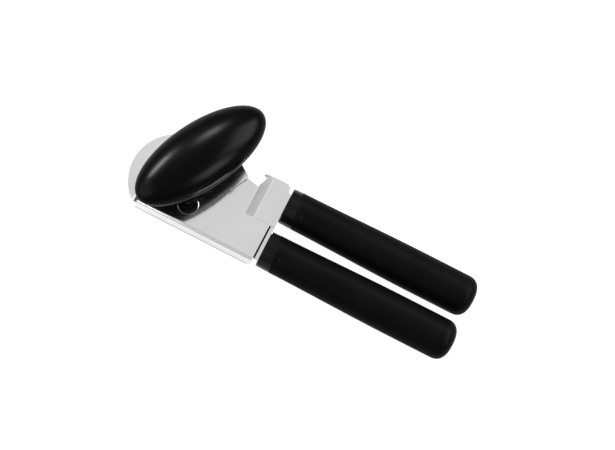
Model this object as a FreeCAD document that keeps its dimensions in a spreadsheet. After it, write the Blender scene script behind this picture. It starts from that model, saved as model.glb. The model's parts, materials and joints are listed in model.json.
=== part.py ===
import FreeCAD, Part
import math
import os
import Sketcher

# Manual can opener: two stamped plates with soft grips, joined by an eccentric bush.
# Frame: the origin is where the can's rim is nipped between feed wheel and cutter,
# on the plates' sliding plane. +X runs along the handles, +Y to the cap lifter's side,
# +Z up to the knob. Millimetres.

doc = FreeCAD.newDocument("can_opener")
sheet = doc.addObject("Spreadsheet::Sheet", "Sizes")

SIZES = {
    # head and nip
    "feed_radius": 9.9, "cutter_radius": 9.1, "nip_gap": 0.3, "nip_angle": -76.3,
    "eccentricity": 3.2, "knob_angle": 64,
    # plates
    "plate_thick": 1.5, "plate_gap": 0.3, "head_radius": 24.7, "head_x": -6.6, "head_y": -0.7,
    "flange_gap": 0.3, "flange_drop": 7.0, "flange_bend": 2.0, "flange_start": -20.25,
    "flange_end": 41.5, "flange_corner": 1.9,
    "strip_edge_y": 0.5, "strip_end_x": 41.5, "front_joggle": 0.9, "lobe_foot_x": 12.8,
    "lobe_x": 22, "lobe_y": 17.8, "lobe_back_x": 16.6, "lobe_back_y": 21.7, "head_top_y": 23.9,
    "head_top_x": 13.2, "lobe_round": 1, "strip_lap": 1,
    "rear_end_radius": 10.8, "seam_gap": 0.5, "rear_joggle_x": 28, "rear_joggle": 5,
    "rear_top_y": 24.3, "rear_corner": 3, "rear_end_x": 42.6, "shoulder_room": 0.6, "step_bend": 6,
    "step_lap": 1.2, "edge_run": 6, "hook_back": 0.9,
    "notch_x": 27.9, "notch_y": 16.4, "notch_top_x": 30.2, "notch_top_y": 22.7,
    "hook_x": 28.2, "hook_y": 24.2,
    # handles
    "collar_x": 44.2, "handle_length": 102.5, "lower_axis_y": -10.8, "upper_axis_y": 14.1,
    "collar_radius": 9.1, "collar_length": 7, "collar_slant": 7.5,
    "collar_chamfer": 0.4, "collar_swell": 5, "collar_lap": 3, "seam_inset": 1.25, "seam_run": 3,
    "sleeve_start": 1,
    "grip_front_radius": 9.25, "grip_back_radius": 10.2, "grip_dome": 6,
    "core_radius": 7.2, "core_length": 88, "core_taper": 2, "tang_width": 11, "tang_length": 56,
    "tang_clearance": 0.05, "tang_pin_radius": 1.5, "tang_pin_at": 38,
    "pin_inset": 0.3, "swell_end": 0.75, "reach": 1,
    # eccentric bush and drive shaft
    "running_gap": 0.05, "shaft_radius": 3, "bush_neck_radius": 7.6, "bush_radius": 8.6,
    "bush_flange_radius": 10.2, "bush_flange": 0.8, "bush_foot_radius": 8.6, "bush_foot": 0.6,
    "pivot_washer": 0.4, "feed_washer": 0.5, "feed_washer_radius": 5.4,
    "feed_thick": 3.6, "feed_teeth": 36, "tooth_depth": 0.75, "gash_share": 0.8, "gash_reach": 0.1,
    "shaft_head_radius": 4.3,
    "shaft_head": 0.8, "shaft_top": 19, "shaft_chamfer": 0.5, "feed_chamfer": 0.6,
    "thrust_washer": 0.5, "thrust_washer_radius": 6.4,
    # cutter
    "cutter_thick": 2.2, "cutter_edge": 0.3, "cutter_bevel": 2.8, "cutter_shoulder_radius": 4,
    "cutter_shank_radius": 3, "cutter_lap": 0.55, "cutter_spacer_radius": 6,
    "cutter_foot_radius": 5.8, "cutter_foot": 0.9, "cutter_head_radius": 5.2, "cutter_head": 0.5,
    "foot_chamfer": 0.4, "head_chamfer": 0.2, "head_rim": 0.4,
    # knob
    "knob_half_length": 37.6, "knob_half_width": 16, "knob_half_height": 12,
    "knob_height": 17.7, "neck_radius": 6.8, "stem_radius": 5, "stem_rise": 5.5,
    "neck_socket": 4.2, "knob_pin_radius": 1.2, "knob_pin_at": 8.5, "knob_pin_inset": 0.2,
}

# Places worked out from the sizes above; each is a cell that holds a formula.
PLACES = {
    "shaft_x": "-(feed_radius + nip_gap / 2) * cos(nip_angle)",
    "shaft_y": "-(feed_radius + nip_gap / 2) * sin(nip_angle)",
    "cutter_x": "(cutter_radius + nip_gap / 2) * cos(nip_angle)",
    "cutter_y": "(cutter_radius + nip_gap / 2) * sin(nip_angle)",
    "pivot_x": "shaft_x - eccentricity * cos(nip_angle)",
    "pivot_y": "shaft_y - eccentricity * sin(nip_angle)",
    "flange_face_y": "cutter_y - cutter_radius - flange_gap - plate_thick",
    "rear_top_z": "-plate_gap",
    "rear_back_z": "-plate_gap - plate_thick",
    "tang_z": "-plate_gap / 2 - plate_thick / 2",
    "rear_edge_y": "strip_edge_y + seam_gap",
    "shoulder_y": "rear_top_y - rear_corner - shoulder_room",
    "bush_foot_z": "rear_back_z - bush_foot",
    "feed_washer_z": "bush_foot_z - running_gap - feed_washer",
    "feed_z": "feed_washer_z - feed_thick",
    "shaft_foot_z": "feed_z - shaft_head",
    "bush_flange_z": "plate_thick + pivot_washer + running_gap",
    "thrust_z": "bush_flange_z + bush_flange + running_gap",
    "neck_z": "thrust_z + thrust_washer",
    "knob_z": "plate_thick + knob_height",
    "cutter_back_z": "feed_z + feed_thick - cutter_lap - cutter_thick / 2",
    "cutter_spacer": "-cutter_back_z - cutter_thick - running_gap",
    "cutter_foot_z": "cutter_back_z - running_gap - cutter_foot",
    "stem_top_z": "knob_z + stem_rise",
    "knob_pin_z": "neck_z + knob_pin_at",
}


def fill_sheet():
    row = 1
    for alias, value in SIZES.items():
        sheet.set("A%d" % row, alias)
        sheet.set("B%d" % row, str(value))
        sheet.setAlias("B%d" % row, alias)
        row += 1
    doc.recompute()
    for alias, formula in PLACES.items():
        formula = formula.replace("(nip_angle)", "(nip_angle * 1deg)")
        sheet.set("A%d" % row, alias)
        sheet.set("B%d" % row, "=" + formula)
        sheet.setAlias("B%d" % row, alias)
        row += 1
    doc.recompute()


def bound(expression):
    # Write an expression of plain aliases as one that names the sheet's cells.
    words = sorted(list(SIZES) + list(PLACES), key=len, reverse=True)
    out, i = "", 0
    while i < len(expression):
        for word in words:
            before = expression[i - 1] if i else " "
            after = expression[i + len(word)] if i + len(word) < len(expression) else " "
            whole = not (before.isalnum() or before == "_" or after.isalnum() or after == "_")
            if whole and expression.startswith(word, i):
                out += "Sizes." + word
                i += len(word)
                break
        else:
            out += expression[i]
            i += 1
    return out


def value(expression):
    return float(sheet.evalExpression(bound(expression)))


def body(label, x="0", y="0", z="0"):
    made = doc.addObject("PartDesign::Body", label)
    made.Label = label
    for axis, place in zip("xyz", (x, y, z)):
        made.setExpression("Placement.Base." + axis, bound(place))
    return made


def sketch_on(owner, plane, offset="0"):
    sketch = owner.newObject("Sketcher::SketchObject", owner.Label + "_sketch")
    origin = [f for f in owner.Origin.OriginFeatures if f.Role == plane][0]
    sketch.AttachmentSupport = [(origin, "")]
    sketch.MapMode = "FlatFace"
    sketch.setExpression("AttachmentOffset.Base.z", bound(offset))
    return sketch


def pin_point(sketch, geometry, end, x, y):
    for kind, place in (("DistanceX", x), ("DistanceY", y)):
        index = sketch.addConstraint(Sketcher.Constraint(kind, -1, 1, geometry, end, value(place)))
        sketch.setExpression("Constraints[%d]" % index, bound(place))


def polygon(sketch, points, rounds=None):
    # A closed outline; each corner is a pair of expressions. rounds gives, by the number
    # of a side's first corner, the centre and radius of the arc that the side follows.
    rounds = rounds or {}
    spots = [FreeCAD.Vector(value(x), value(y), 0) for x, y in points]
    first = sketch.GeometryCount
    count = len(points)
    ends = []
    for i in range(count):
        start, stop = spots[i], spots[(i + 1) % count]
        if i not in rounds:
            sketch.addGeometry(Part.LineSegment(start, stop), False)
            ends.append((1, 2))
            continue
        centre = FreeCAD.Vector(value(rounds[i][0]), value(rounds[i][1]), 0)
        turns_left = (start - centre).cross(stop - centre).z > 0
        low, high = (start, stop) if turns_left else (stop, start)
        angles = [math.atan2(spot.y - centre.y, spot.x - centre.x) for spot in (low, high)]
        ring = Part.Circle(centre, FreeCAD.Vector(0, 0, 1), value(rounds[i][2]))
        sketch.addGeometry(Part.ArcOfCircle(ring, *angles), False)
        ends.append((1, 2) if turns_left else (2, 1))
    for i in range(count):
        after = (i + 1) % count
        joint = (first + i, ends[i][1], first + after, ends[after][0])
        sketch.addConstraint(Sketcher.Constraint("Coincident", *joint))
    for i, (x, y) in enumerate(points):
        pin_point(sketch, first + i, ends[i][0], x, y)
    for i, (_, _, radius) in rounds.items():
        size = sketch.addConstraint(Sketcher.Constraint("Radius", first + i, value(radius)))
        sketch.setExpression("Constraints[%d]" % size, bound(radius))


def circle(sketch, x, y, radius):
    spot = FreeCAD.Vector(value(x), value(y), 0)
    index = sketch.addGeometry(Part.Circle(spot, FreeCAD.Vector(0, 0, 1), value(radius)), False)
    pin_point(sketch, index, 3, x, y)
    size = sketch.addConstraint(Sketcher.Constraint("Radius", index, value(radius)))
    sketch.setExpression("Constraints[%d]" % size, bound(radius))


def pad(owner, sketch, length):
    made = owner.newObject("PartDesign::Pad", owner.Label + "_pad")
    made.Profile = sketch
    made.setExpression("Length", bound(length))
    doc.recompute()
    return made


def pocket(owner, sketch, length, along_normal=False):
    # Cuts against the sketch's normal, or along it, and makes sure that something went.
    before = owner.Shape.Volume
    made = owner.newObject("PartDesign::Pocket", owner.Label + "_pocket")
    made.Profile = sketch
    made.setExpression("Length", bound(length))
    made.Reversed = along_normal
    doc.recompute()
    if not owner.Shape.Volume < before:
        raise RuntimeError("a pocket cut nothing in " + owner.Label)
    return made


def turn(owner, profile):
    # Revolve a half outline of (radius, height) corners about the body's own Z axis.
    sketch = sketch_on(owner, "XZ_Plane")
    polygon(sketch, profile)
    made = owner.newObject("PartDesign::Revolution", owner.Label + "_turning")
    made.Profile = sketch
    made.ReferenceAxis = (sketch, ["V_Axis"])
    made.Angle = 360
    doc.recompute()
    return made


def fillet_edges(owner, radius, choose):
    # Round the edges of the body's last feature that the test picks.
    base = owner.Tip
    names = ["Edge%d" % (i + 1) for i, edge in enumerate(base.Shape.Edges) if choose(edge)]
    if not names:
        raise RuntimeError("no edge to round in " + owner.Label)
    made = owner.newObject("PartDesign::Fillet", owner.Label + "_round")
    made.Base = (base, names)
    made.setExpression("Radius", bound(radius))
    doc.recompute()
    return made


def near(edge, x, y):
    # True for an upright edge that stands at (x, y).
    first, last = edge.Vertexes[0].Point, edge.Vertexes[-1].Point
    upright = abs(first.z - last.z) > 0.5 and abs(first.x - last.x) + abs(first.y - last.y) < 1e-6
    return upright and abs(first.x - x) + abs(first.y - y) < 1e-3


def across(edge, start, run):
    # True for a crosswise edge where a plate's step starts or ends.
    first, last = edge.Vertexes[0].Point, edge.Vertexes[-1].Point
    crosswise = abs(first.x - last.x) + abs(first.z - last.z) < 1e-6 and abs(first.y - last.y) > 3
    places = (value(start), value(start + " + " + run))
    return crosswise and any(abs(first.x - place) < 1e-3 for place in places)


def washer(label, x, y, z, inner, outer, thick):
    made = body(label, x, y, z)
    turn(made, [(inner, "0"), (outer, "0"), (outer, thick), (inner, thick)])
    return made


# Section through a plate that steps from one level to the tang's level.
def stepped_section(plate_z, start_x, run, end_x, overlap):
    top = "%s + plate_thick" % plate_z
    return [
        ("%s - %s" % (start_x, overlap), plate_z), (start_x, plate_z),
        ("%s + %s" % (start_x, run), "tang_z"), (end_x, "tang_z"),
        (end_x, "tang_z + plate_thick"), ("%s + %s" % (start_x, run), "tang_z + plate_thick"),
        (start_x, top), ("%s - %s" % (start_x, overlap), top),
    ]


def make_front_plate():
    plate = body("front_plate")
    outline = sketch_on(plate, "XY_Plane")
    circle(outline, "head_x", "head_y", "head_radius")
    pad(plate, outline, "plate_thick")

    web = sketch_on(plate, "XY_Plane")
    polygon(web, [
        ("head_x", "flange_face_y"), ("strip_end_x", "flange_face_y"),
        ("strip_end_x", "strip_edge_y"), ("lobe_foot_x", "strip_edge_y"),
        ("lobe_x", "lobe_y"), ("lobe_back_x", "lobe_back_y"), ("head_top_x", "head_top_y"),
        ("head_x", "head_y + head_radius"), ("head_x", "head_y"),
    ])
    pad(plate, web, "plate_thick")

    # the disc is flat only as far as the flange's outer face, and as the bend beside it
    below = sketch_on(plate, "XY_Plane", "plate_thick * 2")
    polygon(below, [
        ("head_x - head_radius - reach", "flange_face_y - head_radius"),
        ("strip_end_x + reach", "flange_face_y - head_radius"),
        ("strip_end_x + reach", "flange_face_y + flange_bend"),
        ("flange_start", "flange_face_y + flange_bend"), ("flange_start", "flange_face_y"),
        ("head_x - head_radius - reach", "flange_face_y"),
    ])
    pocket(plate, below, "plate_thick * 3")

    # the flange: a quarter bend, then a wall that hangs below the plate
    section = sketch_on(plate, "YZ_Plane", "flange_start")
    centre = ("flange_face_y + flange_bend", "plate_thick - flange_bend")
    polygon(section, [
        (centre[0], "0"), ("flange_face_y + plate_thick", centre[1]),
        ("flange_face_y + plate_thick", "plate_thick - flange_drop"),
        ("flange_face_y", "plate_thick - flange_drop"), ("flange_face_y", centre[1]),
        (centre[0], "plate_thick"),
    ], {0: centre + ("flange_bend - plate_thick",), 4: centre + ("flange_bend",)})
    pad(plate, section, "flange_end - flange_start")

    # the strip beyond the flange ends square at the bend line, with the slanted wall corner
    corner = sketch_on(plate, "XZ_Plane", "-(flange_face_y + plate_thick * 2)")
    polygon(corner, [
        ("flange_end", "plate_thick - flange_drop + flange_corner"),
        ("flange_end - flange_corner", "plate_thick - flange_drop"),
        ("flange_end", "plate_thick - flange_drop - reach"),
        ("flange_end + reach", "plate_thick - flange_drop - reach"),
        ("flange_end + reach", "plate_thick - flange_drop + flange_corner"),
    ])
    pocket(plate, corner, "plate_thick * 4", along_normal=True)

    step = sketch_on(plate, "XZ_Plane", "-strip_edge_y")
    polygon(step, stepped_section("0", "strip_end_x", "front_joggle", "collar_x", "strip_lap"))
    pad(plate, step, "strip_edge_y - flange_face_y - flange_bend")
    add_tang(plate, "lower_axis_y")

    holes = sketch_on(plate, "XY_Plane", "plate_thick * 2")
    circle(holes, "pivot_x", "pivot_y", "bush_radius + running_gap")
    circle(holes, "cutter_x", "cutter_y", "cutter_shank_radius")
    pocket(plate, holes, "plate_thick * 3")
    corners = [("lobe_x", "lobe_y"), ("head_top_x", "head_top_y"), ("lobe_back_x", "lobe_back_y")]
    spots = [(value(x), value(y)) for x, y in corners]
    fillet_edges(plate, "lobe_round", lambda edge: any(near(edge, x, y) for x, y in spots))
    return plate


def add_tang(plate, axis_y):
    tang = sketch_on(plate, "XY_Plane", "tang_z")
    half = "tang_width / 2"
    polygon(tang, [
        ("collar_x - strip_lap", "%s - %s" % (axis_y, half)),
        ("collar_x + tang_length", "%s - %s" % (axis_y, half)),
        ("collar_x + tang_length", "%s + %s" % (axis_y, half)),
        ("collar_x - strip_lap", "%s + %s" % (axis_y, half)),
    ])
    pad(plate, tang, "plate_thick")
    hole = sketch_on(plate, "XY_Plane", "tang_z + plate_thick * 2")
    circle(hole, "collar_x + tang_pin_at", axis_y, "tang_pin_radius")
    pocket(plate, hole, "plate_thick * 3")


def make_rear_plate():
    plate = body("rear_plate")
    round_end = sketch_on(plate, "XY_Plane", "rear_back_z")
    circle(round_end, "pivot_x", "pivot_y", "rear_end_radius")
    pad(plate, round_end, "plate_thick")
    web = sketch_on(plate, "XY_Plane", "rear_back_z")
    polygon(web, [
        ("pivot_x", "pivot_y - rear_end_radius"), ("rear_joggle_x - edge_run", "rear_edge_y"),
        ("rear_joggle_x", "rear_edge_y"), ("rear_joggle_x", "notch_y - tang_clearance"),
        ("notch_x", "notch_y"), ("lobe_x", "lobe_y"), ("lobe_back_x", "lobe_back_y"),
        ("pivot_x", "pivot_y + rear_end_radius"),
    ])
    pad(plate, web, "plate_thick")

    # the step up to the tang's level, as wide as the plate at the hook
    step = sketch_on(plate, "XZ_Plane", "-rear_top_y")
    polygon(step, stepped_section("rear_back_z", "rear_joggle_x", "rear_joggle", "collar_x", "step_lap"))
    pad(plate, step, "rear_top_y - rear_edge_y")
    fillet_edges(plate, "step_bend", lambda edge: across(edge, "rear_joggle_x", "rear_joggle"))

    # the cap lifter: a notch with a hook that leans back over it
    notch = sketch_on(plate, "XY_Plane", "plate_thick * 3")
    polygon(notch, [
        ("notch_x", "notch_y"), ("notch_top_x", "notch_top_y"), ("hook_x", "hook_y - hook_back"),
        ("hook_x", "rear_top_y + reach"), ("lobe_back_x - reach", "rear_top_y + reach"),
        ("lobe_back_x - reach", "lobe_back_y + (lobe_back_y - lobe_y) / (lobe_x - lobe_back_x) * reach"),
        ("lobe_back_x", "lobe_back_y"), ("lobe_x", "lobe_y"),
    ])
    pocket(plate, notch, "plate_thick * 6")
    # its upper edge stops short of the collar
    shoulder = sketch_on(plate, "XY_Plane", "plate_thick * 3")
    polygon(shoulder, [
        ("rear_end_x", "shoulder_y"), ("collar_x", "min(shoulder_y; upper_axis_y + tang_width / 2)"),
        ("collar_x + reach", "min(shoulder_y; upper_axis_y + tang_width / 2)"),
        ("collar_x + reach", "rear_top_y + reach"), ("rear_end_x", "rear_top_y + reach"),
    ])
    pocket(plate, shoulder, "plate_thick * 6")
    corner = (value("rear_end_x"), value("rear_top_y"))
    fillet_edges(plate, "rear_corner", lambda edge: near(edge, *corner))
    add_tang(plate, "upper_axis_y")
    hole = sketch_on(plate, "XY_Plane", "plate_thick * 2")
    circle(hole, "pivot_x", "pivot_y", "bush_neck_radius")
    pocket(plate, hole, "plate_thick * 4")
    return plate


def make_eccentric_bush():
    bush = body("eccentric_bush", "pivot_x", "pivot_y")
    turn(bush, [
        ("0", "bush_foot_z"), ("bush_foot_radius", "bush_foot_z"), ("bush_foot_radius", "rear_back_z"),
        ("bush_neck_radius", "rear_back_z"), ("bush_neck_radius", "rear_top_z"),
        ("bush_radius", "rear_top_z"), ("bush_radius", "bush_flange_z"),
        ("bush_flange_radius", "bush_flange_z"), ("bush_flange_radius", "bush_flange_z + bush_flange"),
        ("0", "bush_flange_z + bush_flange"),
    ])
    bore = sketch_on(bush, "XY_Plane", "bush_flange_z + bush_flange + reach")
    circle(bore, "shaft_x - pivot_x", "shaft_y - pivot_y", "shaft_radius + running_gap")
    pocket(bush, bore, "bush_flange_z + bush_flange - bush_foot_z + 2 * reach")
    return bush


def cross_hole(owner, radius, height, reach):
    hole = sketch_on(owner, "YZ_Plane", reach)
    circle(hole, "0", height, radius)
    pocket(owner, hole, "2 * " + reach)


def make_drive_shaft():
    shaft = body("drive_shaft", "shaft_x", "shaft_y")
    turn(shaft, [
        ("0", "shaft_foot_z"), ("shaft_head_radius - shaft_head / 2", "shaft_foot_z"),
        ("shaft_head_radius", "shaft_foot_z + shaft_head / 2"), ("shaft_head_radius", "feed_z"),
        ("shaft_radius", "feed_z"), ("shaft_radius", "shaft_top - shaft_chamfer"),
        ("shaft_radius - shaft_chamfer", "shaft_top"), ("0", "shaft_top"),
    ])
    cross_hole(shaft, "knob_pin_radius", "knob_pin_z", "stem_radius")
    return shaft


def make_feed_wheel():
    wheel = body("feed_wheel", "shaft_x", "shaft_y", "feed_z")
    turn(wheel, [
        ("shaft_radius", "0"), ("feed_radius - feed_chamfer", "0"), ("feed_radius", "feed_chamfer"),
        ("feed_radius", "feed_thick - feed_chamfer"), ("feed_radius - feed_chamfer", "feed_thick"),
        ("shaft_radius", "feed_thick"),
    ])
    gash = sketch_on(wheel, "XY_Plane", "feed_thick + reach")
    half = "(pi * feed_radius / feed_teeth * gash_share)"
    polygon(gash, [
        ("feed_radius - tooth_depth", "0"),
        ("feed_radius + gash_reach", "-" + half), ("feed_radius + gash_reach", half),
    ])
    cut = pocket(wheel, gash, "feed_thick + 2 * reach")
    teeth = wheel.newObject("PartDesign::PolarPattern", "feed_wheel_teeth")
    teeth.Originals = [cut]
    teeth.Axis = (gash, ["N_Axis"])
    teeth.Angle = 360
    teeth.setExpression("Occurrences", bound("feed_teeth"))
    wheel.Tip = teeth
    doc.recompute()
    return wheel


def make_cutting_wheel():
    wheel = body("cutting_wheel", "cutter_x", "cutter_y", "cutter_back_z")
    hub = "cutter_shoulder_radius + running_gap"
    turn(wheel, [
        (hub, "0"), ("cutter_radius - cutter_bevel", "0"),
        ("cutter_radius", "cutter_thick / 2 - cutter_edge / 2"),
        ("cutter_radius", "cutter_thick / 2 + cutter_edge / 2"),
        ("cutter_radius - cutter_bevel", "cutter_thick"), (hub, "cutter_thick"),
    ])
    return wheel


def make_cutter_axle():
    axle = body("cutter_axle", "cutter_x", "cutter_y")
    turn(axle, [
        ("0", "cutter_foot_z"), ("cutter_foot_radius - foot_chamfer", "cutter_foot_z"),
        ("cutter_foot_radius", "cutter_foot_z + foot_chamfer"),
        ("cutter_foot_radius", "cutter_foot_z + cutter_foot"),
        ("cutter_shoulder_radius", "cutter_foot_z + cutter_foot"),
        ("cutter_shoulder_radius", "-cutter_spacer"), ("cutter_shank_radius", "-cutter_spacer"),
        ("cutter_shank_radius", "plate_thick"), ("cutter_head_radius", "plate_thick"),
        ("cutter_head_radius", "plate_thick + cutter_head * head_rim"),
        ("cutter_head_radius - head_chamfer", "plate_thick + cutter_head"),
        ("0", "plate_thick + cutter_head"),
    ])
    return axle


def make_knob():
    insert = body("knob_insert", "shaft_x", "shaft_y")
    turn(insert, [
        ("shaft_radius", "neck_z"), ("neck_radius", "neck_z"), ("neck_radius", "neck_z + neck_socket"),
        ("stem_radius", "neck_z + neck_socket"), ("stem_radius", "stem_top_z"), ("0", "stem_top_z"),
        ("0", "shaft_top"), ("shaft_radius - shaft_chamfer", "shaft_top"),
        ("shaft_radius", "shaft_top - shaft_chamfer"),
    ])
    cross_hole(insert, "knob_pin_radius", "knob_pin_z", "stem_radius + reach")

    form = doc.addObject("Part::Ellipsoid", "knob_form")
    for name, size in (("Radius1", "knob_half_height"), ("Radius2", "knob_half_length"),
                       ("Radius3", "knob_half_width")):
        form.setExpression(name, bound(size))
    sockets = []
    for name, radius, foot, rise in (
            ("neck_hole", "neck_radius", "neck_z - reach", "neck_socket + reach"),
            ("stem_hole", "stem_radius", "neck_z", "stem_top_z - neck_z")):
        hole = doc.addObject("Part::Cylinder", name)
        hole.setExpression("Radius", bound(radius))
        hole.setExpression("Height", bound(rise))
        place_at(hole, foot)
        sockets.append(hole)
    place_at(form, "knob_z")
    form.Placement.Rotation = FreeCAD.Rotation(FreeCAD.Vector(0, 0, 1), 1)
    form.setExpression("Placement.Rotation.Angle", bound("knob_angle") + " * 1deg")
    socket = doc.addObject("Part::Fuse", "knob_socket")
    socket.Base, socket.Tool = sockets
    shell = doc.addObject("Part::Cut", "knob_shell")
    shell.Base, shell.Tool = form, socket
    shell.Label = "knob_shell"
    doc.recompute()

    pin = doc.addObject("Part::Cylinder", "knob_pin")
    pin.Label = "knob_pin"
    pin.setExpression("Radius", bound("knob_pin_radius"))
    pin.setExpression("Height", bound("2 * (stem_radius - knob_pin_inset)"))
    pin.Placement.Rotation = FreeCAD.Rotation(FreeCAD.Vector(0, 1, 0), 90)
    pin.setExpression("Placement.Base.x", bound("shaft_x - stem_radius + knob_pin_inset"))
    pin.setExpression("Placement.Base.y", bound("shaft_y"))
    pin.setExpression("Placement.Base.z", bound("knob_pin_z"))
    return [insert, shell, pin]


def place_at(thing, height):
    # Stand a primitive on the drive shaft's axis.
    for axis, place in zip("xyz", ("shaft_x", "shaft_y", height)):
        thing.setExpression("Placement.Base." + axis, bound(place))


def lay_down(thing):
    # Turn a body whose axis is Z so that it runs along the handle.
    thing.Placement.Rotation = FreeCAD.Rotation(FreeCAD.Vector(0, 1, 0), 90)


# The seam between collar and grip slants: the collar is wider on the -Y side.
SEAM_DROP = "tan(collar_slant * 1deg)"


def seam_height(side):
    return "collar_length - seam_inset + (%s) * %s" % (side, SEAM_DROP)


def make_core(label, axis_y):
    core = body(label, "collar_x", axis_y, "tang_z + plate_thick / 2")
    lay_down(core)
    turn(core, [
        ("0", "0"), ("collar_radius - collar_chamfer", "0"), ("collar_radius", "collar_chamfer"),
        ("grip_front_radius", "collar_swell"), ("grip_front_radius", "collar_length + collar_lap"),
        ("0", "collar_length + collar_lap"),
    ])
    beyond = sketch_on(core, "YZ_Plane", "grip_back_radius + reach")
    side = "(grip_back_radius + reach)"
    polygon(beyond, [
        ("-" + side, seam_height(side)), (side, seam_height("-" + side)),
        (side, "collar_length + collar_lap + seam_run"),
        ("-" + side, "collar_length + collar_lap + seam_run"),
    ])
    pocket(core, beyond, "2 * (grip_back_radius + reach)")
    turn(core, [
        ("0", "sleeve_start"), ("core_radius", "sleeve_start"), ("core_radius", "core_length - core_taper"),
        ("core_radius - core_taper", "core_length"), ("0", "core_length"),
    ])
    slot = sketch_on(core, "XY_Plane", "tang_length + tang_clearance")
    half = "(tang_width / 2 + tang_clearance)"
    deep = "(plate_thick / 2 + tang_clearance)"
    polygon(slot, [("-" + deep, "-" + half), (deep, "-" + half), (deep, half), ("-" + deep, half)])
    pocket(core, slot, "tang_length + reach")
    pin = sketch_on(core, "YZ_Plane", "core_radius + reach")
    circle(pin, "0", "tang_pin_at", "tang_pin_radius")
    pocket(core, pin, "2 * (core_radius + reach)")
    return core


def make_grip(label, axis_y):
    grip = body(label, "collar_x", axis_y, "tang_z + plate_thick / 2")
    lay_down(grip)
    turn(grip, [
        ("0", "sleeve_start"), ("grip_front_radius", "sleeve_start"),
        ("grip_front_radius", "collar_length + collar_lap"),
        ("grip_back_radius", "handle_length * swell_end"), ("grip_back_radius", "handle_length"),
        ("0", "handle_length"),
    ])
    end = value("handle_length")

    def end_rim(edge):
        round_edge = edge.Curve.TypeId == "Part::GeomCircle"
        flat = all(abs(vertex.Point.z - end) < 1e-3 for vertex in edge.Vertexes)
        return round_edge and flat and edge.Length > 1

    fillet_edges(grip, "grip_dome", end_rim)
    before = sketch_on(grip, "YZ_Plane", "grip_back_radius + reach")
    side = "(grip_back_radius + reach)"
    polygon(before, [
        ("-" + side, "-reach"), (side, "-reach"),
        (side, seam_height("-" + side)), ("-" + side, seam_height(side)),
    ])
    pocket(grip, before, "2 * (grip_back_radius + reach)")
    hollow = sketch_on(grip, "XY_Plane", "core_length")
    circle(hollow, "0", "0", "core_radius")
    pocket(grip, hollow, "core_length + reach")
    return grip


def make_tang_pin(label, axis_y):
    pin = doc.addObject("Part::Cylinder", label)
    pin.Label = label
    pin.setExpression("Radius", bound("tang_pin_radius"))
    pin.setExpression("Height", bound("2 * (core_radius - pin_inset)"))
    pin.setExpression("Placement.Base.x", bound("collar_x + tang_pin_at"))
    pin.setExpression("Placement.Base.y", bound(axis_y))
    pin.setExpression("Placement.Base.z", bound("tang_z + plate_thick / 2 - core_radius + pin_inset"))
    return pin


fill_sheet()
pieces = [make_front_plate(), make_rear_plate(), make_eccentric_bush(), make_drive_shaft(),
          make_feed_wheel(), make_cutting_wheel(), make_cutter_axle()]
pieces += make_knob()
pieces += [
    washer("pivot_washer", "pivot_x", "pivot_y", "plate_thick",
           "bush_radius + running_gap", "bush_flange_radius", "pivot_washer"),
    washer("feed_washer", "shaft_x", "shaft_y", "feed_washer_z",
           "shaft_radius", "feed_washer_radius", "feed_washer"),
    washer("thrust_washer", "shaft_x", "shaft_y", "thrust_z",
           "shaft_radius", "thrust_washer_radius", "thrust_washer"),
    washer("cutter_spacer", "cutter_x", "cutter_y", "-cutter_spacer",
           "cutter_shank_radius", "cutter_spacer_radius", "cutter_spacer"),
]
for side in ("lower", "upper"):
    axis = side + "_axis_y"
    pieces += [make_core(side + "_core", axis), make_grip(side + "_grip", axis),
               make_tang_pin(side + "_tang_pin", axis)]
doc.recompute()

for thing in doc.Objects:
    if "Invalid" in thing.State or "Error" in thing.State:
        raise RuntimeError("%s failed: %s" % (thing.Name, thing.State))
os.makedirs("parts", exist_ok=True)
for piece in pieces:
    shape = piece.Shape
    if shape.isNull() or not shape.isValid() or len(shape.Solids) != 1:
        raise RuntimeError("%s has no sound solid (%d)" % (piece.Label, len(shape.Solids)))
    shape.exportStep("parts/%s.step" % piece.Label)
    print("%-16s %9.2f mm3" % (piece.Label, shape.Volume))
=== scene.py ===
import json
import math

import bmesh
import bpy
from mathutils import Matrix, Vector


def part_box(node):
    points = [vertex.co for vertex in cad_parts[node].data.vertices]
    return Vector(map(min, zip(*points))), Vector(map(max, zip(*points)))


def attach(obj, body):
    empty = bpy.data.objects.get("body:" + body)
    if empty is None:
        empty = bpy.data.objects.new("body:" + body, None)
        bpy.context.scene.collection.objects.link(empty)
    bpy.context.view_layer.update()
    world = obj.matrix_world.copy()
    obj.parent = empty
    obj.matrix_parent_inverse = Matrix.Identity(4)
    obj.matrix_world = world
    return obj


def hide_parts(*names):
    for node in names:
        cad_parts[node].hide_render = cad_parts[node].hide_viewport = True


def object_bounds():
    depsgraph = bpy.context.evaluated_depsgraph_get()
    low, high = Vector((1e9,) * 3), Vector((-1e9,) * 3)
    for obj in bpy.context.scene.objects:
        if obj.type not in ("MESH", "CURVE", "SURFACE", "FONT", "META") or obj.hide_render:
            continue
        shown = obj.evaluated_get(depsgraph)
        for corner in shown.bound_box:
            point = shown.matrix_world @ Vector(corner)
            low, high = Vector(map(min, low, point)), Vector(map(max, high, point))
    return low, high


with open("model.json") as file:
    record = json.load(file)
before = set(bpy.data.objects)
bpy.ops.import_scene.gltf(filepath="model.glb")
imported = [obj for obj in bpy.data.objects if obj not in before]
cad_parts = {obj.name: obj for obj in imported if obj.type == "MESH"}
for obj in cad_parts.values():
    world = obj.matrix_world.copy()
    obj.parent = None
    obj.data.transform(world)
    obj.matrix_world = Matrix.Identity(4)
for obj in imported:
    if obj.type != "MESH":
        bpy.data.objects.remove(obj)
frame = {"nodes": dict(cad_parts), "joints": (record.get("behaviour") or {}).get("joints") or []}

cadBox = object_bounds()
mergeDistance = 1e-6
print("frame loaded:", len(frame["nodes"]), "nodes")


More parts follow.
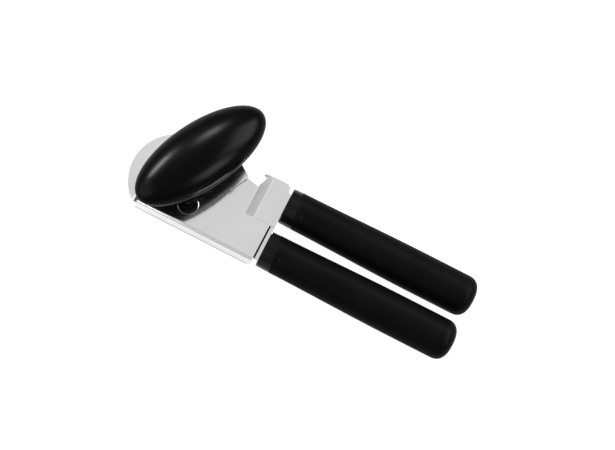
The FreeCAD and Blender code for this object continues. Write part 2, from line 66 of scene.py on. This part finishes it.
def mm(*values):
    # millimetres to Blender's metres
    return tuple(value / 1000 for value in values)


def addObject(name, mesh, material):
    thing = bpy.data.objects.new(name, mesh)
    bpy.context.scene.collection.objects.link(thing)
    thing.data.materials.append(material)
    return thing


def easeInOut(share):
    # 0 to 1 with level ends
    return share * share * (3 - 2 * share)


# camera: down on the plates from the knob's side, tipped towards the flange
camera = {
    "aim": mm(57.25, 0, 0), "distance": 1.0, "tipDegrees": -21.0, "rollDegrees": -27.04,
    "sideways": 0.00472, "upwards": 0.00822, "lens": 121.42, "clipStart": 0.01,
}


def buildCamera():
    turned = (Matrix.Rotation(math.radians(camera["rollDegrees"]), 3, "Z")
              @ Matrix.Rotation(math.radians(camera["tipDegrees"]), 3, "X"))
    facing = turned.transposed()
    offset = Vector((camera["sideways"], camera["upwards"], camera["distance"]))
    lensData = bpy.data.cameras.new("camera")
    lensData.lens = camera["lens"]
    lensData.clip_start = camera["clipStart"]
    view = bpy.data.objects.new("camera", lensData)
    view.matrix_world = Matrix.Translation(Vector(camera["aim"]) + facing @ offset) @ facing.to_4x4()
    bpy.context.scene.collection.objects.link(view)
    bpy.context.scene.camera = view


buildCamera()
bpy.context.scene.view_settings.view_transform = "Standard"
print("camera placed")


def newGroup(name, inputs, outputs):
    group = bpy.data.node_groups.new(name, "ShaderNodeTree")
    for label, kind, default in inputs:
        socket = group.interface.new_socket(label, in_out="INPUT", socket_type=kind)
        if default is not None:
            socket.default_value = default
    for label, kind in outputs:
        group.interface.new_socket(label, in_out="OUTPUT", socket_type=kind)
    entry = group.nodes.new("NodeGroupInput")
    leave = group.nodes.new("NodeGroupOutput")
    return group, entry, leave


# noise detail and the part of a noise's range that it mostly keeps to
noise = {"grainDetail": 3, "patchDetail": 2, "lineDetail": 4, "low": 0.3, "high": 0.7}


def buildGrain():
    # fine moulded or blasted grain: a height and a slow patchiness
    group, entry, leave = newGroup("surfaceGrain", [
        ("Vector", "NodeSocketVector", None), ("Scale", "NodeSocketFloat", 1500.0),
        ("Patch Scale", "NodeSocketFloat", 60.0)], [
        ("Height", "NodeSocketFloat"), ("Patches", "NodeSocketFloat")])
    fine = group.nodes.new("ShaderNodeTexNoise")
    fine.inputs["Detail"].default_value = noise["grainDetail"]
    slow = group.nodes.new("ShaderNodeTexNoise")
    slow.inputs["Detail"].default_value = noise["patchDetail"]
    links = group.links
    for texture, scale in ((fine, "Scale"), (slow, "Patch Scale")):
        links.new(entry.outputs["Vector"], texture.inputs["Vector"])
        links.new(entry.outputs[scale], texture.inputs["Scale"])
    links.new(fine.outputs["Fac"], leave.inputs["Height"])
    links.new(slow.outputs["Fac"], leave.inputs["Patches"])
    return group


def buildBrushing():
    # fine lines along X, as rolled and brushed sheet has
    group, entry, leave = newGroup("brushedLines", [
        ("Vector", "NodeSocketVector", None), ("Lines", "NodeSocketFloat", 2600.0),
        ("Stretch", "NodeSocketFloat", 0.02)], [("Height", "NodeSocketFloat")])
    combine = group.nodes.new("ShaderNodeCombineXYZ")
    combine.inputs["Y"].default_value = 1
    combine.inputs["Z"].default_value = 1
    product = group.nodes.new("ShaderNodeVectorMath")
    product.operation = "MULTIPLY"
    lines = group.nodes.new("ShaderNodeTexNoise")
    lines.inputs["Detail"].default_value = noise["lineDetail"]
    links = group.links
    links.new(entry.outputs["Stretch"], combine.inputs["X"])
    links.new(entry.outputs["Vector"], product.inputs[0])
    links.new(combine.outputs["Vector"], product.inputs[1])
    links.new(product.outputs["Vector"], lines.inputs["Vector"])
    links.new(entry.outputs["Lines"], lines.inputs["Scale"])
    links.new(lines.outputs["Fac"], leave.inputs["Height"])
    return group


def ramp(group, source, low, high):
    # 0 at low and 1 at high, clamped between
    node = group.nodes.new("ShaderNodeMapRange")
    node.inputs["From Min"].default_value = low
    node.inputs["From Max"].default_value = high
    group.links.new(source, node.inputs["Value"])
    return node.outputs["Result"]


def combineMath(group, operation, first, second):
    node = group.nodes.new("ShaderNodeMath")
    node.operation = operation
    group.links.new(first, node.inputs[0])
    group.links.new(second, node.inputs[1])
    return node.outputs["Value"]


def buildFacing():
    # a mask of what faces one way
    group, entry, leave = newGroup("facingMask", [
        ("Normal", "NodeSocketVector", None), ("Direction", "NodeSocketVector", None),
        ("Low", "NodeSocketFloat", 0.0), ("High", "NodeSocketFloat", 0.5)], [("Mask", "NodeSocketFloat")])
    facing = group.nodes.new("ShaderNodeVectorMath")
    facing.operation = "DOT_PRODUCT"
    step = group.nodes.new("ShaderNodeMapRange")
    links = group.links
    links.new(entry.outputs["Normal"], facing.inputs[0])
    links.new(entry.outputs["Direction"], facing.inputs[1])
    links.new(facing.outputs["Value"], step.inputs["Value"])
    links.new(entry.outputs["Low"], step.inputs["From Min"])
    links.new(entry.outputs["High"], step.inputs["From Max"])
    links.new(step.outputs["Result"], leave.inputs["Mask"])
    return group


def addFacing(tree, normal, direction, low, high):
    node = tree.nodes.new("ShaderNodeGroup")
    node.node_tree = facingGroup
    tree.links.new(normal, node.inputs["Normal"])
    node.inputs["Direction"].default_value = direction
    node.inputs["Low"].default_value = low
    node.inputs["High"].default_value = high
    return node.outputs["Mask"]


# painted shade along the stamped sheet's edges, standing in for the contact shadow and dark reflection
# there; where it goes, in metres of the part's own frame
edgeShade = {
    "left": (-0.78, -0.62, 0), "back": (0.2, 0.98, 0), "sideFrom": 0.15, "sideTo": 0.35, "bendFoot": -0.0176,
    "rimFoot": -0.0047, "headEnd": 0.005, "blend": 0.0002, "tint": (0.06, 0.06, 0.062),
}


def buildEdgeShade():
    # a mask of painted shade: on the left-facing sides near the head away from the flange's bend, on the
    # back edge and on the flange's rim
    group, entry, leave = newGroup("paintedEdgeShade", [
        ("Vector", "NodeSocketVector", None), ("Normal", "NodeSocketVector", None)], [
        ("Mask", "NodeSocketFloat")])
    sides = [addFacing(group, entry.outputs["Normal"], direction, edgeShade["sideFrom"], edgeShade["sideTo"])
             for direction in (edgeShade["left"], edgeShade["back"])]
    place = group.nodes.new("ShaderNodeSeparateXYZ")
    group.links.new(entry.outputs["Vector"], place.inputs["Vector"])
    inland = ramp(group, place.outputs["Y"], edgeShade["bendFoot"], edgeShade["bendFoot"] + edgeShade["blend"])
    rim = ramp(group, place.outputs["Z"], edgeShade["rimFoot"], edgeShade["rimFoot"] - edgeShade["blend"])
    head = ramp(group, place.outputs["X"], edgeShade["headEnd"], edgeShade["headEnd"] - edgeShade["blend"])
    tail = ramp(group, place.outputs["X"], edgeShade["headEnd"], edgeShade["headEnd"] + edgeShade["blend"])
    left = combineMath(group, "MULTIPLY", combineMath(group, "MULTIPLY", sides[0], inland), head)
    back = combineMath(group, "MULTIPLY", sides[1], tail)
    mask = combineMath(group, "MAXIMUM", combineMath(group, "MAXIMUM", left, back), rim)
    group.links.new(mask, leave.inputs["Mask"])
    return group


grainGroup = buildGrain()
facingGroup = buildFacing()
edgeShadeGroup = buildEdgeShade()
brushGroup = buildBrushing()


def startMaterial(name, color, roughness, metallic=0.0):
    material = bpy.data.materials.new(name)
    material.use_nodes = True
    shader = material.node_tree.nodes["Principled BSDF"]
    shader.inputs["Base Color"].default_value = (*color, 1)
    shader.inputs["Roughness"].default_value = roughness
    shader.inputs["Metallic"].default_value = metallic
    coords = material.node_tree.nodes.new("ShaderNodeTexCoord")
    return material, shader, coords


def addGroup(material, group, coords, **values):
    node = material.node_tree.nodes.new("ShaderNodeGroup")
    node.node_tree = group
    material.node_tree.links.new(coords.outputs["Object"], node.inputs["Vector"])
    for label, number in values.items():
        node.inputs[label.replace("_", " ")].default_value = number
    return node


def spread(material, source, low, high, target):
    # map a 0..1 value over a range and feed a socket with it
    node = material.node_tree.nodes.new("ShaderNodeMapRange")
    node.inputs["From Min"].default_value = noise["low"]
    node.inputs["From Max"].default_value = noise["high"]
    node.inputs["To Min"].default_value = low
    node.inputs["To Max"].default_value = high
    material.node_tree.links.new(source, node.inputs["Value"])
    material.node_tree.links.new(node.outputs["Result"], target)


def mottle(material, shader, patches, color, swing):
    # the colour drifts a little either way with the patches
    mix = material.node_tree.nodes.new("ShaderNodeMix")
    mix.data_type = "RGBA"
    mix.inputs["A"].default_value = (*(part * (1 - swing) for part in color), 1)
    mix.inputs["B"].default_value = (*(part * (1 + swing) for part in color), 1)
    spread(material, patches, 0, 1, mix.inputs["Factor"])
    material.node_tree.links.new(mix.outputs["Result"], shader.inputs["Base Color"])


def addBump(material, shader, height, strength, distance):
    bump = material.node_tree.nodes.new("ShaderNodeBump")
    bump.inputs["Strength"].default_value = strength
    bump.inputs["Distance"].default_value = distance
    material.node_tree.links.new(height, bump.inputs["Height"])
    material.node_tree.links.new(bump.outputs["Normal"], shader.inputs["Normal"])


# each steel's colour, least and most roughness, and how strongly its brushed lines show
steels = {
    "patchScale": 45, "swing": 0.01, "lineDepth": 0.00002,
    "satinSteel": {"color": (0.74, 0.74, 0.74), "rough": (0.1, 0.12), "lines": 0.05},
    "rearSteel": {"color": (0.74, 0.74, 0.74), "rough": (0.1, 0.12), "lines": 0.05},
    # painted shade: the rivet head's steel is a darker copy of the plate steel, standing in for the knob's
    # dark reflection on it
    "shadedHeadSteel": {"color": (0.3, 0.3, 0.3), "rough": (0.1, 0.13), "lines": 0.05},
    "turnedSteel": {"color": (0.6, 0.6, 0.61), "rough": (0.16, 0.24), "lines": 0.2},
    "groundSteel": {"color": (0.5, 0.5, 0.52), "rough": (0.18, 0.3), "lines": 0.3},
}


def buildSteel(name):
    finish = steels[name]
    low, high = finish["rough"]
    material, shader, coords = startMaterial(name, finish["color"], low, 1.0)
    grain = addGroup(material, grainGroup, coords, Patch_Scale=steels["patchScale"])
    lines = addGroup(material, brushGroup, coords)
    spread(material, grain.outputs["Patches"], low, high, shader.inputs["Roughness"])
    mottle(material, shader, grain.outputs["Patches"], finish["color"], steels["swing"])
    addBump(material, shader, lines.outputs["Height"], finish["lines"], steels["lineDepth"])
    return material


# painted shade: a near-black tint mixed into the steel's colour on the masked edges
def paintEdgeShade(material):
    nodes, links = material.node_tree.nodes, material.node_tree.links
    shader = nodes["Principled BSDF"]
    coords = nodes["Texture Coordinate"]
    mask = addGroup(material, edgeShadeGroup, coords)
    links.new(coords.outputs["Normal"], mask.inputs["Normal"])
    mix = nodes.new("ShaderNodeMix")
    mix.data_type = "RGBA"
    links.new(shader.inputs["Base Color"].links[0].from_socket, mix.inputs["A"])
    mix.inputs["B"].default_value = (*edgeShade["tint"], 1)
    links.new(mask.outputs["Mask"], mix.inputs["Factor"])
    links.new(mix.outputs["Result"], shader.inputs["Base Color"])


# painted shade: a darker tint on what faces one way, toning down a bright reflection there
sideShade = {
    "shadedHeadSteel": {"direction": (-0.7, -0.7, 0), "low": 0.0, "high": 0.25, "tint": (0.06, 0.06, 0.06)},
    "rearSteel": {"direction": (-0.3, -0.95, 0), "low": 0.3, "high": 0.6, "tint": (0.5, 0.5, 0.5)},
}


# mixes the painted shade into the base colour where the surface faces the given way
def paintSideShade(material):
    facts = sideShade[material.name]
    nodes, links = material.node_tree.nodes, material.node_tree.links
    baseColor = nodes["Principled BSDF"].inputs["Base Color"]
    mask = addFacing(material.node_tree, nodes["Texture Coordinate"].outputs["Normal"],
                     facts["direction"], facts["low"], facts["high"])
    mix = nodes.new("ShaderNodeMix")
    mix.data_type = "RGBA"
    mix.inputs["B"].default_value = (*facts["tint"], 1)
    links.new(baseColor.links[0].from_socket, mix.inputs["A"])
    links.new(mask, mix.inputs["Factor"])
    links.new(mix.outputs["Result"], baseColor)


# each plastic's colour, least and most roughness, specular level and moulded grain
plastics = {
    "patchScale": 70, "swing": 0.15,
    "knobBlack": {
        "color": (0.0005, 0.0005, 0.0005), "rough": (0.24, 0.28), "specular": 0.03,
        "grainScale": 900, "bump": 0.03, "depth": 0.00002,
    },
    "collarBlack": {
        "color": (0.0015, 0.0015, 0.0015), "rough": (0.1, 0.14), "specular": 0.1,
        "grainScale": 900, "bump": 0.04, "depth": 0.00002,
    },
    "gripBlack": {
        "color": (0.0006, 0.0006, 0.0006), "rough": (0.44, 0.52), "specular": 0.022,
        "grainScale": 4200, "bump": 0.3, "depth": 0.00004,
    },
    "nylon": {
        "color": (0.6, 0.6, 0.58), "rough": (0.4, 0.5), "specular": 0.5,
        "grainScale": 900, "bump": 0.1, "depth": 0.00002,
    },
    "floorWhite": {
        "color": (0.04, 0.04, 0.04), "rough": (0.8, 0.9), "specular": 0.5,
        "grainScale": 200, "bump": 0.0, "depth": 0.00001,
    },
}


def buildPlastic(name):
    finish = plastics[name]
    color = finish["color"]
    low, high = finish["rough"]
    material, shader, coords = startMaterial(name, color, low)
    shader.inputs["Specular IOR Level"].default_value = finish["specular"]
    grain = addGroup(material, grainGroup, coords, Scale=finish["grainScale"],
                     Patch_Scale=plastics["patchScale"])
    spread(material, grain.outputs["Patches"], low, high, shader.inputs["Roughness"])
    mottle(material, shader, grain.outputs["Patches"], color, plastics["swing"])
    addBump(material, shader, grain.outputs["Height"], finish["bump"], finish["depth"])
    return material


satinSteel = buildSteel("satinSteel")
# the front plate gets painted shade along its edges
paintEdgeShade(satinSteel)
rearSteel = buildSteel("rearSteel")
# the rear plate's side that faces the front gets painted shade over its bright reflection of the floor
paintSideShade(rearSteel)
# rivet head: a darker steel and a darkened side, both painted shade
shadedHeadSteel = buildSteel("shadedHeadSteel")
paintSideShade(shadedHeadSteel)
turnedSteel = buildSteel("turnedSteel")
groundSteel = buildSteel("groundSteel")
knobBlack = buildPlastic("knobBlack")
collarBlack = buildPlastic("collarBlack")
gripBlack = buildPlastic("gripBlack")
nylon = buildPlastic("nylon")
floorWhite = buildPlastic("floorWhite")
print("materials ready")

nodeMaterials = {
    "front_plate": satinSteel, "rear_plate": rearSteel,
    "eccentric_bush": turnedSteel, "pivot_washer": turnedSteel, "drive_shaft": turnedSteel,
    "feed_washer": turnedSteel, "cutter_axle": shadedHeadSteel, "cutter_spacer": turnedSteel,
    "knob_pin": turnedSteel, "lower_tang_pin": turnedSteel, "upper_tang_pin": turnedSteel,
    "feed_wheel": groundSteel, "cutting_wheel": groundSteel, "thrust_washer": nylon,
    "knob_insert": collarBlack, "knob_shell": knobBlack,
    "lower_core": collarBlack, "upper_core": collarBlack,
    "lower_grip": gripBlack, "upper_grip": gripBlack,
}
for nodeName, material in nodeMaterials.items():
    frame["nodes"][nodeName].data.materials.clear()
    frame["nodes"][nodeName].data.materials.append(material)


# stamped edges are slightly rounded
plateEdge = {
    "front_plate": 0.0003, "rear_plate": 0.00012, "angleDegrees": 32, "segments": 3, "faceWeight": 90,
}


def roundEdges(name):
    thing = frame["nodes"][name]
    weld = thing.modifiers.new("weld", "WELD")
    weld.merge_threshold = mergeDistance
    bevel = thing.modifiers.new("edges", "BEVEL")
    bevel.width = plateEdge[name]
    bevel.segments = plateEdge["segments"]
    bevel.limit_method = "ANGLE"
    bevel.angle_limit = math.radians(plateEdge["angleDegrees"])
    evened = thing.modifiers.new("evened", "WEIGHTED_NORMAL")
    evened.mode = "FACE_AREA"
    evened.weight = plateEdge["faceWeight"]


for nodeName in ("front_plate", "rear_plate"):
    roundEdges(nodeName)
print("plate edges rounded")


def jointPlace(name):
    return Vector(next(joint["pos_m"] for joint in frame["joints"] if joint["name"] == name))


def finishMesh(form, name, material):
    # normals outwards, then a mesh object at the origin
    bmesh.ops.remove_doubles(form, verts=form.verts, dist=mergeDistance)
    bmesh.ops.recalc_face_normals(form, faces=form.faces)
    for face in form.faces:
        face.smooth = True
    mesh = bpy.data.meshes.new(name)
    form.to_mesh(mesh)
    form.free()
    return addObject(name, mesh, material)


# knob: a long egg on the drive shaft's axis that flares down into its neck
knob = {
    "halfLength": 0.0376, "halfWidth": 0.016, "halfHeight": 0.012, "bearing": 64,
    "neckRadius": 0.0068, "flare": 0.0055, "neckTop": 0.0046, "around": 128, "along": 72,
}


def buildKnob():
    low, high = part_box("knob_shell")
    shaft = jointPlace("knob_spin")
    middle = high[2] - knob["halfHeight"]
    form = bmesh.new()
    bmesh.ops.create_uvsphere(form, u_segments=knob["around"], v_segments=knob["along"], radius=1)
    bmesh.ops.rotate(form, verts=form.verts, matrix=Matrix.Rotation(math.radians(90), 3, "Y"))
    bmesh.ops.scale(form, verts=form.verts, vec=(knob["halfLength"], knob["halfWidth"], knob["halfHeight"]))
    foot = knob["neckTop"] - middle
    reach = knob["neckRadius"] + knob["flare"]
    for vertex in form.verts:
        across = math.hypot(vertex.co.x, vertex.co.y)
        if vertex.co.z < 0 and across < reach:
            near = min(1.0, (reach - across) / knob["flare"])
            vertex.co.z += (foot - vertex.co.z) * easeInOut(near)
    bmesh.ops.rotate(form, verts=form.verts, matrix=Matrix.Rotation(math.radians(knob["bearing"]), 3, "Z"))
    bmesh.ops.translate(form, verts=form.verts, vec=(shaft.x, shaft.y, middle))
    piece = finishMesh(form, "knobSkin", knobBlack)
    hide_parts("knob_shell")
    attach(piece, "knob")


buildKnob()
print("knob made")


# grips: soft sleeves that swell towards the end and stop in a blunt dome
grip = {
    "frontRadius": 0.00925, "backRadius": 0.0102, "swellAt": 0.7, "short": 0.0008,
    "dome": 0.0074, "roundness": 0.78,
    "seamSlant": 7.5, "seamAt": 0.00575, "seamRoom": 0.003, "cutTolerance": 1e-7,
    "lip": 0.00035, "lipSegments": 3, "steps": 96, "rings": 24, "domeRings": 20, "capCorners": 12,
}


def gripProfile(length):
    # (distance from the collar's front, radius) along the sleeve
    points = []
    length -= grip["short"]
    start = grip["seamAt"] - grip["seamRoom"]
    straight = length - grip["dome"]
    for step in range(grip["rings"] + 1):
        at = start + (straight - start) * step / grip["rings"]
        swell = easeInOut(min(1.0, at / (length * grip["swellAt"])))
        points.append((at, grip["frontRadius"] + (grip["backRadius"] - grip["frontRadius"]) * swell))
    for step in range(1, grip["domeRings"] + 1):
        turn = math.radians(90) * step / grip["domeRings"]
        points.append((straight + grip["dome"] * math.sin(turn) ** grip["roundness"],
                       grip["backRadius"] * abs(math.cos(turn)) ** grip["roundness"]))
    return points


def buildGrip(side, axisY, axisZ, front, length):
    form = bmesh.new()
    chain = [form.verts.new((front + at, axisY, axisZ + radius)) for at, radius in gripProfile(length)]
    edges = [form.edges.new(pair) for pair in zip(chain, chain[1:])]
    bmesh.ops.spin(form, geom=chain + edges, cent=(front, axisY, axisZ), axis=(1, 0, 0), dvec=(0, 0, 0),
                   angle=math.radians(360), steps=grip["steps"], use_merge=True, use_duplicate=False)
    bmesh.ops.remove_doubles(form, verts=form.verts, dist=mergeDistance)
    slant = math.radians(grip["seamSlant"])
    bmesh.ops.bisect_plane(form, geom=form.verts[:] + form.edges[:] + form.faces[:],
                           dist=grip["cutTolerance"],
                           plane_co=(front + grip["seamAt"], axisY, axisZ),
                           plane_no=(math.cos(slant), math.sin(slant), 0), clear_inner=True)
    rim = [edge for edge in form.edges if edge.is_boundary]
    cap = bmesh.ops.contextual_create(form, geom=rim)["faces"]
    bmesh.ops.recalc_face_normals(form, faces=form.faces)
    bmesh.ops.bevel(form, geom=list(cap[0].edges), offset=grip["lip"], segments=grip["lipSegments"],
                    profile=0.5, affect="EDGES", material=-1)
    piece = finishMesh(form, side + "Sleeve", gripBlack)
    for face in piece.data.polygons:
        face.use_smooth = len(face.vertices) < grip["capCorners"]
    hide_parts(side + "_grip")
    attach(piece, side + "_handle")


for side in ("lower", "upper"):
    low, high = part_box(side + "_grip")
    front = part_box(side + "_core")[0][0]
    buildGrip(side, (low[1] + high[1]) / 2, (low[2] + high[2]) / 2, front, high[0] - front)
print("grips made")


# soft boxes, each by its direction from the head: bearing from +X, height above the floor
lights = {
    "overhead": {"bearing": 88, "rise": 69, "away": 1.0, "size": (0.66, 0.8), "radiance": 0.41},
    "front": {"bearing": -90, "rise": 44, "away": 1.35, "size": (1.9, 2.0), "radiance": 0.28},
    "frontLeft": {"bearing": -135, "rise": 30, "away": 0.9, "size": (1.0, 0.8), "radiance": 4.5},
    "leftStrip": {"bearing": 167, "rise": 40, "away": 0.8, "size": (0.32, 0.12), "radiance": 170},
    "backStrip": {"bearing": 115, "rise": 48, "away": 0.8, "size": (0.16, 0.14), "radiance": 95},
    "rightBox": {"bearing": -8, "rise": 32, "away": 0.8, "size": (0.3, 0.3), "radiance": 19},
    "farBox": {"bearing": 42, "rise": 38, "away": 1.0, "size": (0.7, 0.55), "radiance": 15},
}


studio = {"aim": mm(0, 5, 10), "world": 0.42, "floorHalf": 2, "floorGlow": 0.95}


def buildLights():
    head = Vector(studio["aim"])
    for name, facts in lights.items():
        data = bpy.data.lights.new(name, "AREA")
        data.shape = "RECTANGLE"
        data.size, data.size_y = facts["size"]
        data.energy = facts["radiance"] * math.pi * data.size * data.size_y
        bearing, rise = math.radians(facts["bearing"]), math.radians(facts["rise"])
        level = math.cos(rise)
        outward = Vector((math.cos(bearing) * level, math.sin(bearing) * level, math.sin(rise)))
        lamp = bpy.data.objects.new(name, data)
        lamp.location = head + outward * facts["away"]
        lamp.rotation_euler = (-outward).to_track_quat("-Z", "Y").to_euler()
        bpy.context.scene.collection.objects.link(lamp)
    world = bpy.data.worlds.new("studio")
    world.use_nodes = True
    backdrop = world.node_tree.nodes["Background"]
    backdrop.inputs["Color"].default_value = (1, 1, 1, 1)
    backdrop.inputs["Strength"].default_value = studio["world"]
    bpy.context.scene.world = world


def buildFloor():
    glow = floorWhite.node_tree.nodes["Principled BSDF"]
    glow.inputs["Emission Color"].default_value = (1, 1, 1, 1)
    glow.inputs["Emission Strength"].default_value = studio["floorGlow"]
    form = bmesh.new()
    bmesh.ops.create_grid(form, x_segments=1, y_segments=1, size=studio["floorHalf"])
    bmesh.ops.translate(form, verts=form.verts, vec=(0, 0, cadBox[0][2]))
    mesh = bpy.data.meshes.new("floor")
    form.to_mesh(mesh)
    form.free()
    addObject("floor", mesh, floorWhite)


buildLights()
buildFloor()
print("studio ready")
